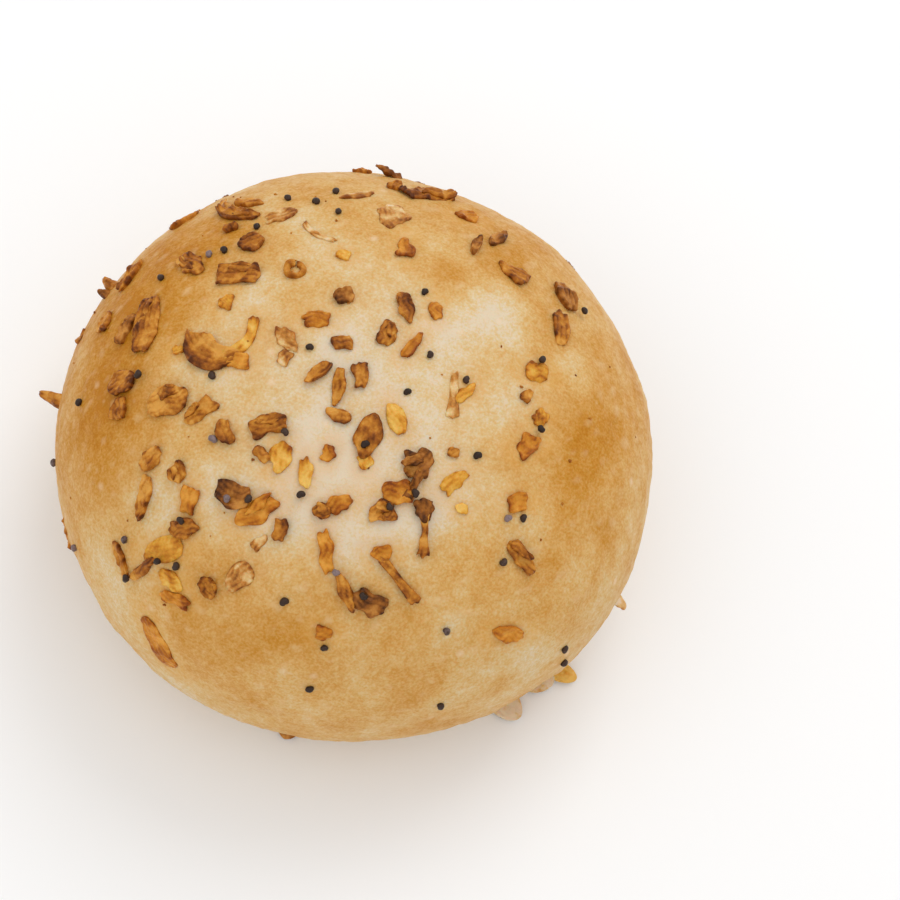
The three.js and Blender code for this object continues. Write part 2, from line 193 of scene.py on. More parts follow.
# Where the toppings lie: degrees of lean from the crown, to the right and to the back.
# Flakes: right, back, length, width, turn, bend, kind
placedFlakes = [
    # the large curls left of the crown
    (-30.8, -2.4, 10.8, 4.3, -22, 92, "brown"),
    (-23.5, 0.5, 8.5, 1.7, 66, 80, "golden"),
    (-24.5, -3.5, 3.7, 2.7, 12, 0, "orange"),
    (-45.5, 4, 9.5, 4.4, 90, 10, "brown"),
    (-50.5, 3.5, 4.6, 1.7, 67, 0, "dark"),
    (-36.5, -12.5, 6, 4.8, 25, 0, "brown"),
    (-29.5, -14, 4.7, 2.8, 40, 20, "brown"),
    (-48.5, -8.5, 5, 3.8, 20, 0, "brown"),
    (-48, -14, 3.4, 2.9, 90, 0, "brown"),
    # back left
    (-36, 34.5, 11, 2.5, -38, 80, "brown"),
    (-32.5, 37.5, 5, 2.2, -12, 0, "brown"),
    (-28, 23.5, 4.1, 3.1, 27, 0, "brown"),
    (-39, 18, 4.8, 3.6, -40, 30, "brown"),
    (-28.5, 15, 6.4, 3.6, 7, 0, "brown"),
    (-18, 15.5, 7.2, 1, 0, 352, "brown"),
    (-56.5, 20.5, 6.4, 2.3, 72, 20, "brown"),
    (-59, 7.5, 3.6, 2.5, 75, 0, "brown"),
    (-50, 39, 5.2, 2.2, 49, 0, "brown"),
    (-29, 8.5, 2.6, 2, 80, 0, "golden"),
    (-16, 27, 6.5, 0.9, 150, -60, "pale"),
    (-10.5, 41.5, 5.6, 1.9, 35, 20, "pale"),
    (-24, 32, 5, 2.6, 30, 0, "pale"),
    (-2.5, 36.5, 5.6, 4.6, 80, 0, "pale"),
    (3.5, 50.5, 8.8, 3.8, 32, -12, "brown"),
    (-3.5, 49, 2.6, 1.7, 20, 0, "brown"),
    (-12.5, 62, 3.2, 1.4, 8, 0, "brown"),
    # round the crown
    (-8, 12.5, 2.9, 2.4, 30, 0, "dark"),
    (-12, 7, 3.8, 2.7, 5, 0, "orange"),
    (-6.5, 3, 2.9, 2.4, 20, 0, "brown"),
    (-16.5, 2, 4.9, 2.5, -48, 0, "pale"),
    (1, 28, 4.6, 2.5, 95, 0, "orange"),
    (3.5, 13.5, 4.8, 2.7, 112, 0, "brown"),
    (9, 14, 3.1, 2.2, 95, 0, "orange"),
    (1, 7, 4, 3, 88, 0, "brown"),
    (6, 5.5, 4.7, 1.6, 66, 0, "orange"),
    (-9.5, -3.5, 4.7, 1.9, 48, 0, "brown"),
    (-2, -2.5, 4, 2.3, 105, 0, "brown"),
    (-5.5, -5.5, 6, 1.9, 97, 0, "brown"),
    (-4.5, -11, 3.7, 2.3, -15, 0, "brown"),
    (1.5, -14, 6.6, 3.8, 82, -20, "brown"),
    (2, -18.5, 2.6, 2.2, 95, 0, "golden"),
    (6, -9.5, 4.9, 2.8, 122, 0, "golden"),
    (15, -2, 7.4, 1.5, 98, 0, "pale"),
    (17, -1, 4.1, 1.8, 54, 0, "golden"),
    # back right
    (12.5, 44, 3.4, 3.2, 20, 0, "orange"),
    (14.5, 33, 4.4, 1.6, 82, 0, "dark"),
    (19, 38, 5.6, 2, 62, 0, "dark"),
    (22.5, 29, 5, 3.1, -22, 0, "brown"),
    (35, 30, 5, 3.6, 115, 0, "dark"),
    (34, 20.5, 6, 2.8, 100, 0, "brown"),
    (30, 8, 3.7, 3.4, 20, 0, "golden"),
    (32, -1, 2.7, 2.5, 60, 0, "golden"),
    (30.5, -7, 4.2, 3.1, 40, 0, "orange"),
    # front left
    (-16.5, -15, 5.2, 3.2, 22, 0, "brown"),
    (-24, -17.5, 3.8, 2.2, 116, 0, "brown"),
    (-16.5, -20.5, 2.8, 1.9, -35, 0, "brown"),
    (-13, -20.5, 4.3, 3.4, 90, 0, "golden"),
    (-8, -22.5, 4.2, 2.1, 100, 0, "golden"),
    (-20.5, -28.5, 5.4, 3.5, -5, 0, "dark"),
    (-15.5, -31, 6.6, 3.6, 35, 0, "orange"),
    (-38.5, -24, 4.2, 2.7, 45, 0, "brown"),
    (-32, -26, 3.3, 2.4, 110, 0, "brown"),
    (-29, -31, 4, 2.6, 85, 0, "orange"),
    (-39.5, -32, 6.8, 2.3, 82, 10, "brown"),
    (-29.5, -36.5, 4.7, 2.9, 0, 0, "brown"),
    (-10.5, -33.5, 3.1, 2.2, 85, 0, "brown"),
    (-34.3, -42, 7.6, 3.4, 22, 0, "golden"),
    (-46.7, -46.5, 5.4, 1.8, -66, 0, "brown"),
    (-39.5, -47, 6.4, 1.6, 40, 0, "brown"),
    (-32, -48, 4.2, 2.7, -30, 0, "golden"),
    (-31, -52, 4.9, 2, -8, 0, "orange"),
    (-23, -47.5, 3.4, 2.6, 110, 0, "brown"),
    (-17, -44, 4.6, 3.6, 60, 0, "pale"),
    (-39, -67.5, 9.2, 3.9, -72, 0, "orange"),
    # front right
    (-1, -27, 4, 2.7, 35, 0, "orange"),
    (-3.8, -28.8, 2.8, 2.3, 10, 0, "brown"),
    (11.5, -16.7, 4.8, 3.9, 50, 0, "dark"),
    (11.5, -21, 4.4, 1.6, 75, 0, "dark"),
    (9, -23, 4.2, 3.3, 15, 0, "orange"),
    (7, -27, 3.8, 3, 20, 0, "brown"),
    (18.5, -18, 4.6, 2.2, 55, 0, "golden"),
    (14.5, -25, 3.2, 2.6, -75, 0, "dark"),
    (15.5, -29.5, 6, 1.4, -80, 0, "brown"),
    (8.5, -34.5, 3.2, 2.5, 12, 0, "orange"),
    (13.2, -39, 8.2, 1.5, -38, 0, "brown"),
    (-1.6, -36, 6.2, 2.1, -70, 0, "orange"),
    (3.5, -43, 6.6, 1.9, -58, 0, "brown"),
    (8.5, -44.2, 5, 3.3, -15, 0, "dark"),
    (31, -18, 3.2, 2.9, 30, 0, "orange"),
    (35.5, -28, 5.9, 2.6, -34, 0, "brown"),
    (40, -44.5, 5.2, 2.6, 5, 0, "orange"),
    (1.3, -52.5, 2.4, 2.1, 0, 0, "orange"),
]
# Smaller ones, which the solid leaves out
smallFlakes = [
    (-33.5, 28, 2.4, 1.7, 20, 0, "brown"), (-36.5, -2, 1.8, 1.5, 0, 0, "golden"),
    (-10, 22.5, 2.2, 1.8, 0, 0, "golden"), (-4.8, -18.3, 2.3, 2.1, 80, 0, "orange"),
    (21, -22.5, 2, 1.6, 0, 0, "golden"), (17, -12.8, 1.7, 1.5, 0, 0, "brown"),
    (28.5, 2.3, 2.2, 1.6, 70, 0, "brown"), (-14, -36.5, 2.6, 1.6, 45, 0, "pale"),
    (-16, -1.8, 2.4, 1.9, 70, 0, "pale"),
]
# Pieces that stand out from the side: right, back, length, width, turn, rise, kind
spurs = [
    (-80, -7, 4.9, 2.3, 150, 40, "brown"),
    (-84, -42, 4.8, 1.3, 245, 3, "brown"),
    (-4, 60, 4, 1.8, 200, 25, "dark"),
    (-65, 21.5, 3, 2, 140, 35, "brown"),
    (-66, 19.5, 2.4, 1.6, 155, 35, "dark"),
    (-72, 9.5, 2.2, 2.2, 190, 12, "brown"),
    (89, -28, 2.2, 1.8, -20, 50, "pale"),
]
# Pieces caught under the edge of the base: direction in degrees, from, to, width, kind.
# From and to are in mm from the roll's middle.
baseFlakes = [
    (-41.5, 33, 44, 5.6, "pale"),
    (-32, 33, 43.9, 6.2, "pale"),
    (-28, 34, 45.9, 4.2, "golden"),
    (-92, 32.5, 39.8, 5, "dark"),
]
# Poppy seeds: right, back
placedSeeds = [
    (-28, 28), (-36, 20.5), (-33, 21.5), (-45, 15), (-15, 42), (-18, 37), (-24, 38), (-13, 34),
    (-12, 1), (-28.5, -7), (-43.5, -7.5), (-13, -16), (-26, -19), (-8, -26.5), (-17, -29),
    (-21, -29.5), (-29.7, -35), (-34.5, -44), (-30.5, -44.5), (-44, -50), (-45, -41.5),
    (-7.5, -47), (-62, -11.5), (6.3, 17.7), (9.5, 4.5), (30.3, 10.5), (16.7, 1.5), (6.7, -3.7),
    (1.3, -15.7), (12, -22.5), (21.3, -12), (8, -26), (1, -39.5), (7, -43), (25.7, -47),
    (2, -56), (1, -68.5), (34.5, -69), (33, -20.5), (30, -21.5), (32, -30), (32, -3.5),
    (62, -46), (70, -51), (-82.5, -23.5), (-71.5, -47.5), (39, 27.5),
]
# The seeds among them that are worn to grey
greySeeds = [
    (-36, 20.5), (-26, -19), (-45, -41.5), (-21, -29.5), (1, -39.5), (25.7, -47), (-82.5, -23.5),
    (-71.5, -47.5), (30, -21.5),
]
# The far side's toppings come by a rule, the same one as the solid's.
scatter = {
    "flakes": 11,
    "seeds": 7,
    "nearest": 6.0,
    "leanFrom": 76.0,
    "leanTo": 98.0,
    "directionFrom": 52.0,
    "directionTo": 130.0,
    "shortest": 2.4,
    "longest": 6.0,
    "slimmest": 0.4,  # width as a share of the length
    "slimRange": 0.35,
    "leanBias": 1.4,  # more than 1 keeps most of them high up
    "lengthBias": 1.5,  # more than 1 keeps most of them short
    "kinds": ("brown", "brown", "dark", "orange", "golden"),
    "seed": 411,
}


def randomFrom(seed):  # the same run of numbers as the solid's
    word = 0xFFFFFFFF
    state = seed & word
    while True:
        state = (state + 0x6D2B79F5) & word
        mixed = ((state ^ (state >> 15)) * (state | 1)) & word
        mixed ^= (mixed + (((mixed ^ (mixed >> 7)) * (mixed | 61)) & word)) & word
        yield (mixed ^ (mixed >> 14)) / 4294967296


def scatterToppings(rule, taken):
    random = randomFrom(rule["seed"])
    flakes = []
    seeds = []
    kinds = rule["kinds"]
    leanRange = rule["leanTo"] - rule["leanFrom"]
    directionRange = rule["directionTo"] - rule["directionFrom"]
    lengthRange = rule["longest"] - rule["shortest"]
    while len(flakes) < rule["flakes"] or len(seeds) < rule["seeds"]:
        lean = rule["leanFrom"] + leanRange * next(random) ** rule["leanBias"]
        around = math.radians(rule["directionFrom"] + directionRange * next(random))
        right = lean * math.cos(around)
        back = lean * math.sin(around)
        long = rule["shortest"] + lengthRange * next(random) ** rule["lengthBias"]
        slim = rule["slimmest"] + rule["slimRange"] * next(random)
        turn = 180 * next(random)
        kind = kinds[int(len(kinds) * next(random))]
        if any(math.hypot(r - right, b - back) <= rule["nearest"] for r, b in taken):
            continue
        taken.append((right, back))
        if len(flakes) < rule["flakes"]:
            flakes.append((right, back, long, long * slim, turn, 0, kind))
        else:
            seeds.append((right, back))
    return flakes, seeds


takenPlaces = [row[:2] for row in placedFlakes] + list(placedSeeds)
farFlakes, farSeeds = scatterToppings(scatter, takenPlaces)
allFlakes = placedFlakes + farFlakes + smallFlakes
allSeeds = placedSeeds + farSeeds
print("toppings laid out:", len(allFlakes), "flakes and", len(allSeeds), "seeds")


def makePiece(name, vertices, faces):
    mesh = bpy.data.meshes.new(name)
    mesh.from_pydata((vertices * mm).tolist(), [], faces)
    mesh.validate()
    mesh.polygons.foreach_set("use_smooth", [True] * len(mesh.polygons))
    mesh.update()
    piece = addToScene(name, mesh)
    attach(piece, "root")
    return piece


def addMask(piece, name, values):
    attribute = piece.data.attributes.new(name, "FLOAT", "POINT")
    attribute.data.foreach_set("value", np.asarray(values, dtype=np.float32))


# Crust
crustLook = {
    "split": 126,  # faces along each edge of the cube that the mesh starts from
    "swells": [(0.11, 30.0), (0.08, 9.0), (0.03, 2.6)],  # height and size in mm
    "swellsFrom": (0.5, 6.0),  # mm over the floor, from none to full
    "blister": 0.07,  # height in mm
    "blisterSize": 2.2,
    "blisterLimit": 1.1,  # higher means fewer
    "reliefFrom": (0.3, 3.0),  # mm over the floor
    "dent": 0.07,  # how far the crust dips round a flake
    "dentReach": (-0.4, 1.3),  # mm from a flake's edge
    "haloReach": (-0.5, 4.6),
    "haloEach": 0.55,  # how much of it one flake brings
    "haloCleared": 0.95,  # how much of it the browned side loses
    "stainReach": (0.0, 2.0),
    "spotStep": 0.9,  # mm between the spots that stand for a flake in these masks
    "capCentre": (0.0, -10.0),  # degrees from the crown, to the right and to the back
    "capEdge": (14.0, 40.0),  # where the browning starts and where it is full
    "capWander": [(3.5, 16.0)],  # degrees, mm
    "cap": 0.11,  # browning of the cap
    "ring": 0.37,  # and how much browner the side is
    "low": 0.22,  # and how much paler it gets towards the base
    "lowTop": 17.0,  # mm
    "clouds": [(0.05, 13.0), (0.035, 5.0)],  # change of the browning, mm
    "patchFall": 1.4,  # how fast the patches below fade
}
# Paler and browner areas: right, back, reach in degrees, change of the browning. Most are the crust's own
# colour; two are painted light, marked below.
crustPatches = [
    # the second patch here, at 19, 17, is partly pale stretched crust and partly a painted highlight
    (-5, -30, 12, -0.1), (19, 17, 8, -0.34), (16, -26, 9, -0.14), (-7, 12, 8, 0.16), (6, 9, 5, 0.14),
    (-52, 3, 26, 0.42), (-50, -19, 13, 0.23), (-42, 24, 16, 0.34), (-21, 29, 9, -0.2), (5, 30, 9, -0.2),
    (10, 24, 5, 0.26), (28, 18, 7, 0.16), (24, 40, 13, 0.24), (44, 1, 14, 0.24), (39, 13, 7, -0.22),
    (22, -11, 7, 0.14), (-19, -58, 16, 0.24), (22, -60, 13, 0.1), (13, -52, 8, -0.1),
    (-53, -58, 18, -0.26), (-36, -32, 8, -0.28), (-29, -3, 9, -0.2), (54, -52, 19, -0.22),
    (70, -5, 18, -0.08), (-38, -88, 20, -0.2), (10, 40, 18, 0.1), (62, 20, 14, 0.1), (50, 2, 22, 0.1),
    # the second patch here, at -72, -26, is painted shade: the crust darker towards the left edge
    (42, -21, 12, 0.12), (-72, -26, 18, 0.12), (-33, -26, 8, -0.14), (-3, -20, 8, -0.1),
    (-12, -83, 14, 0.1), (-22, -41.5, 9, -0.1), (-48.5, -37.5, 8, -0.08), (40, -70, 14, -0.08),
    (-15, 18, 8, -0.16), (-24, 13, 9, -0.18), (-38, 10, 9, -0.2), (-38, -4, 7, -0.16),
    (-14, -8, 9, 0.13), (-9, -41, 7, 0.18), (29, 5, 6, -0.12), (-44, -50, 6, 0.08),
]


def cellFaces(cell):
    corners = [cell[:-1, :-1], cell[1:, :-1], cell[1:, 1:], cell[:-1, 1:]]
    return np.stack(corners, axis=-1).reshape(-1, 4)


def cubeSphere(split):
    steps = np.tan(np.linspace(-math.pi / 4, math.pi / 4, split + 1))
    a, b = np.meshgrid(steps, steps, indexing="ij")
    one = np.ones_like(a)
    sides = [(one, a, b), (-one, b, a), (b, one, a), (a, -one, b), (a, b, one), (b, a, -one)]
    points = np.concatenate([np.stack(side, axis=-1).reshape(-1, 3) for side in sides])
    points /= np.linalg.norm(points, axis=1, keepdims=True)
    _, first, same = np.unique(np.round(points, 6), axis=0, return_index=True, return_inverse=True)
    same = same.reshape(-1)
    quads = cellFaces(np.arange((split + 1) ** 2).reshape(split + 1, split + 1))
    faces = np.concatenate([same[quads + side * (split + 1) ** 2] for side in range(6)])
    return points[first], faces


def flakeSpine(row, count):
    right, back, long, _, turn, bend, _ = row
    along = np.linspace(-0.5, 0.5, count)
    return spineAt(placeOnCrust(right, back), long * along, np.zeros(count), long, turn, bend)


def spineAt(place, x, y, long, turn, bend):  # x along the flake and y across it, laid on the crust
    turned = math.radians(bend) * x / long
    heading = math.radians(turn) + turned
    chord = x * np.sinc(turned / 2 / math.pi)
    chordHeading = math.radians(turn) + turned / 2
    acrossX = chord * np.cos(chordHeading) - y * np.sin(heading)
    acrossY = chord * np.sin(chordHeading) + y * np.cos(heading)
    near = place["point"] + np.outer(acrossX, place["toRight"]) + np.outer(acrossY, place["toBack"])
    return nearCrust(near)


def nearFlakes(points):  # how close the crust's points are to the flakes, each mask from 0 to 1
    clear = np.ones(len(points))
    masks = {"dent": np.zeros(len(points)), "stain": np.zeros(len(points))}
    for row in allFlakes:
        gap = np.full(len(points), np.inf)
        for spot in flakeSpine(row, max(2, int(row[2] / crustLook["spotStep"]))):
            gap = np.minimum(gap, np.linalg.norm(points - spot, axis=1))
        gap -= row[3] / 2
        clear *= 1 - crustLook["haloEach"] * (1 - smooth(gap, *crustLook["haloReach"]))
        masks["dent"] = np.maximum(masks["dent"], 1 - smooth(gap, *crustLook["dentReach"]))
        if row[6] in ("golden", "orange"):
            masks["stain"] = np.maximum(masks["stain"], 1 - smooth(gap, *crustLook["stainReach"]))
    masks["halo"] = 1 - clear
    return masks


def crustRelief(points):
    return layeredNoise(points, crustLook["swells"], 1) * smooth(points[:, 2], *crustLook["swellsFrom"])


def reliefAt(place):
    return crustRelief(place["point"][None, :])[0]


def crustBrowningAndPaintedLight(right, back, points):
    fromCap = np.hypot(right - crustLook["capCentre"][0], back - crustLook["capCentre"][1])
    fromCap += layeredNoise(points, crustLook["capWander"], 7)
    ring = smooth(fromCap, *crustLook["capEdge"])
    low = 1 - smooth(points[:, 2], 0.0, crustLook["lowTop"])
    browningAndPaintedLight = crustLook["cap"] + crustLook["ring"] * ring - crustLook["low"] * low
    # the patches add browning, and at two of them a painted highlight and a painted shade
    for atRight, atBack, reach, change in crustPatches:
        gap = np.hypot(right - atRight, back - atBack) / reach
        browningAndPaintedLight += change * np.exp(-crustLook["patchFall"] * gap * gap)
    return browningAndPaintedLight + layeredNoise(points, crustLook["clouds"], 5), ring


def makeCrust():
    directions, faces = cubeSphere(crustLook["split"])
    points = crustPoint(directions)
    normals = crustNormal(points)
    lean = np.degrees(np.arccos(np.clip(directions[:, 2], -1, 1)))
    around = np.arctan2(directions[:, 1], directions[:, 0])
    browningAndPaintedLight, ring = crustBrowningAndPaintedLight(lean * np.cos(around), lean * np.sin(around), points)
    masks = nearFlakes(points)
    masks["halo"] *= 1 - crustLook["haloCleared"] * ring
    blisters = waveNoise(points, crustLook["blisterSize"], 4) - crustLook["blisterLimit"]
    masks["blister"] = np.clip(blisters, 0, 1) * ring
    relief = crustRelief(points) + crustLook["blister"] * masks["blister"]
    relief -= crustLook["dent"] * masks.pop("dent")
    relief *= smooth(points[:, 2], *crustLook["reliefFrom"])
    points = points + normals * relief[:, None]
    points[:, 2] = np.maximum(points[:, 2], 0.0)
    crust = makePiece("crust", points, faces.tolist())
    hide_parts("bread_roll")
    addMask(crust, "browningAndPaintedLight", browningAndPaintedLight)
    for name, values in masks.items():
        addMask(crust, name, values)
    return crust


crust = makeCrust()
print("crust made:", len(crust.data.polygons), "faces")


# Onion flakes
flakeLook = {  # thick is the height over the crust in mm, toast goes from 0, raw, to 1, burnt; the same mask also carries painted shade in the grooves and under the roll's edge
    "brown": {"thick": 0.80, "curl": 0.42, "ridge": 0.20, "crumple": 0.13, "toast": 0.36},
    "dark": {"thick": 0.95, "curl": 0.50, "ridge": 0.22, "crumple": 0.17, "toast": 0.40},
    "orange": {"thick": 0.62, "curl": 0.30, "ridge": 0.14, "crumple": 0.10, "toast": 0.38},
    "golden": {"thick": 0.48, "curl": 0.22, "ridge": 0.10, "crumple": 0.07, "toast": 0.32},
    "pale": {"thick": 0.36, "curl": 0.20, "ridge": 0.08, "crumple": 0.05, "toast": 0.36},
}
toastedKinds = ("brown", "dark")
flakeMesh = {
    "seed": 8,
    "step": 0.17,  # mm between two rows of vertices
    "vein": 0.8,  # mm between two grooves
    "ragged": 0.11,  # unevenness of the outline
    "outlineWaves": (range(2, 9), 1, 0.6),  # counts, stretch, and how fast they get lower
    "sideWaves": (range(1, 4), 2.2, 0.7),
    "wavy": 0.03,  # how far the sides swing, as a share of the width
    "crumpleSizes": (2.2, 0.9),  # mm
    "lowest": 0.14,  # mm over the crust
    "edgeDrop": 0.3,  # how much lower the edge is
    "lip": 0.32,  # thickness of a curled edge in mm
    "sink": 0.4,  # mm that the middle reaches into the crust
    "bury": 0.1,  # mm that the whole flake sits lower
    "fewest": (14, 11),  # rows of vertices along and across
    "flatten": 0.35,  # how much lower the flakes lie on the sides
    "flattenFrom": (50.0, 75.0),  # degrees from the crown
}
# The second layer that some large flakes have, as shares of the flake's own length and width
flapLook = {
    "share": 0.5,  # how many of the large flakes have one
    "widerThan": 2.2,  # mm
    "long": (0.5, 0.75),
    "wide": (0.4, 0.6),
    "ahead": (-0.2, 0.2),
    "aside": (0.12, 0.25),
    "turn": (-0.35, 0.35),  # radians
    "lift": 0.32,  # mm
    "sink": 0.2,
}
# How much browner a flake gets at these places, and how much the flakes differ by chance. The browner
# grooves are painted shade in the creases.
toastLook = {
    "groove": 0.22,
    "rim": 0.20,
    "patch": 0.12,
    "fine": 0.05,
    "chance": 0.06,
    "chanceAlong": 0.12,
    "chanceAcross": 0.10,
}
# Width along a flake from its start to its end, one of these for each
flakeProfiles = [
    (1, 1, 1), (0.8, 1.05, 0.9), (1, 0.95, 0.65), (0.6, 1, 0.95), (0.9, 0.85, 1.05), (0.7, 1, 1, 0.75),
]


def own(*profile, **look):
    return {"profile": profile, **look} if profile else look


# Flakes with a form of their own, by their place: first the profile, if it has its own. Along and across
# say how much browner the flake gets towards its end and its left side, rim how brown its edge is, and
# lines how dark the painted shade in its grooves is.
flakeForms = {
    (-30.8, -2.4): own(
        0.2, 0.8, 1.1, 1.1, 0.95, 0.6, style="trough", toast=-0.16, across=-0.5, along=-0.1,
        flap=False, ragged=0.6, lines=0.5,
    ),
    (-23.5, 0.5): own(1.3, 1, 0.9, 0.9, 1.1, style="trough", along=0.26, across=-0.1, round=0.5),
    (-24.5, -3.5): own(toast=-0.12),
    (-45.5, 4): own(0.7, 1, 1, 0.9, style="roll", round=0.6, flap=True, toast=0.02),
    (-50.5, 3.5): own(toast=-0.2),
    (-36.5, -12.5): own(0.9, 1, 0.75, style="roll", along=0.2, toast=-0.2, flap=True),
    (-29.5, -14): own(toast=-0.1),
    (-36, 34.5): own(0.6, 1, 1, 0.7, style="trough", across=-0.15),
    (-18, 15.5): own(1, 1, 1, style="roll", round=0.2, toast=-0.06, ragged=0.4, rim=0.2, lines=0.4),
    (-28.5, 15): own(1, 0.95, 1, style="trough", round=0.3, ragged=0.6, toast=0.08),
    (-28, 23.5): own(toast=0.16),
    (-39, 18): own(0.8, 1, 0.9, style="roll", flap=True, toast=0.12),
    (-16.5, 2): own(0.7, 1, 0.8, toast=0.16, rim=1.3, ragged=1.2),
    (-24, 32): own(toast=0.12),
    (-10.5, 41.5): own(0.6, 1, 0.9, across=-0.3, rim=1.3),
    (-2.5, 36.5): own(0.7, 1, 0.95, style="trough", toast=0.19, rim=1.3, ragged=1.4, lines=0.5),
    (3.5, 50.5): own(0.9, 1, 0.95, style="roll", toast=0.06, round=0.3, ragged=0.6, flap=True),
    (12.5, 44): own(rim=0.5, round=0.9),
    (1, 28): own(1.2, 0.85, 0.3, round=0.4, across=-0.2),
    (14.5, 33): own(0.7, 1, 0.5, round=0.9, ragged=0.6),
    (19, 38): own(0.7, 1, 0.6, round=0.9, ragged=0.6),
    (22.5, 29): own(0.4, 0.8, 1.1, 1, round=0.4, style="flat", toast=0.22, along=0.15, flap=False),
    (3.5, 13.5): own(0.7, 1, 0.9, round=0.8, toast=0.14, rim=-0.5),
    (-6.5, 3): own(toast=0.06),
    (1, 7): own(toast=0.08),
    (30.5, -7): own(toast=0.1, ragged=1.3),
    (9, -23): own(toast=-0.08),
    (1.3, -52.5): own(toast=0.04),
    (35, 30): own(toast=-0.06),
    (30, 8): own(toast=0.26, ragged=1.4),
    (32, -1): own(toast=0.16),
    (15, -2): own(1.5, 0.9, 0.9, 0.8, round=0.5, rim=0.8, toast=0.2, along=-0.2),
    (1.5, -14): own(
        0.7, 1, 1.05, 0.95, style="roll", round=0.9, ragged=0.4, flap=False, toast=0.06, lines=0.3,
    ),
    (6, -9.5): own(ragged=0.7, toast=-0.12, rim=0.6),
    (-13, -20.5): own(toast=0.1, rim=0.6),
    (-20.5, -28.5): own(along=-0.3, toast=-0.06),
    (-15.5, -31): own(0.8, 1, 0.8, toast=0.03, flap=True),
    (-38.5, -24): own(toast=-0.12),
    (-39.5, -32): own(0.6, 0.9, 1, toast=-0.06, along=-0.22, flap=False),
    (-34.3, -42): own(0.7, 1, 1.1, round=0.6, style="flat", ragged=0.7, across=-0.12, lines=0.2),
    (-17, -44): own(0.7, 1, 1.05, rim=1.6, toast=0.08),
    (-14, -36.5): own(toast=0.16),
    (-16, -1.8): own(toast=0.2),
    (-39, -67.5): own(
        0.75, 1, 1.1, 1, style="roll", round=0.5, ragged=0.4, along=0.05, across=-0.12, lines=0.5,
    ),
    (11.5, -16.7): own(0.6, 1.1, 0.9, 0.8, ragged=1.7, style="trough", round=0.8, flap=True),
    (11.5, -21): own(0.9, 0.75, 0.8, 1, style="trough", round=0.2, flap=False),
    (14.5, -25): own(1.15, 1, 0.5, style="trough", round=0.3, flap=False),
    (15.5, -29.5): own(0.8, 0.6, 0.6, 0.8, 1.3, style="trough", round=0.3),
    (13.2, -39): own(1, 0.8, 0.75, 1, 1.3, style="trough", round=0.3, along=0.14),
    (31, -18): own(toast=-0.06),
    (35.5, -28): own(0.9, 1, 0.6, round=0.5, toast=-0.03),
    (40, -44.5): own(0.9, 1, 0.9, round=0.9, toast=-0.08),
}


def randomWaves(along, random, counts, stretch, fall):
    total = np.zeros_like(along)
    for k in counts:
        total += random.normal() / k**fall * np.cos(k * stretch * along + random.uniform(0, 2 * math.pi))
    return total


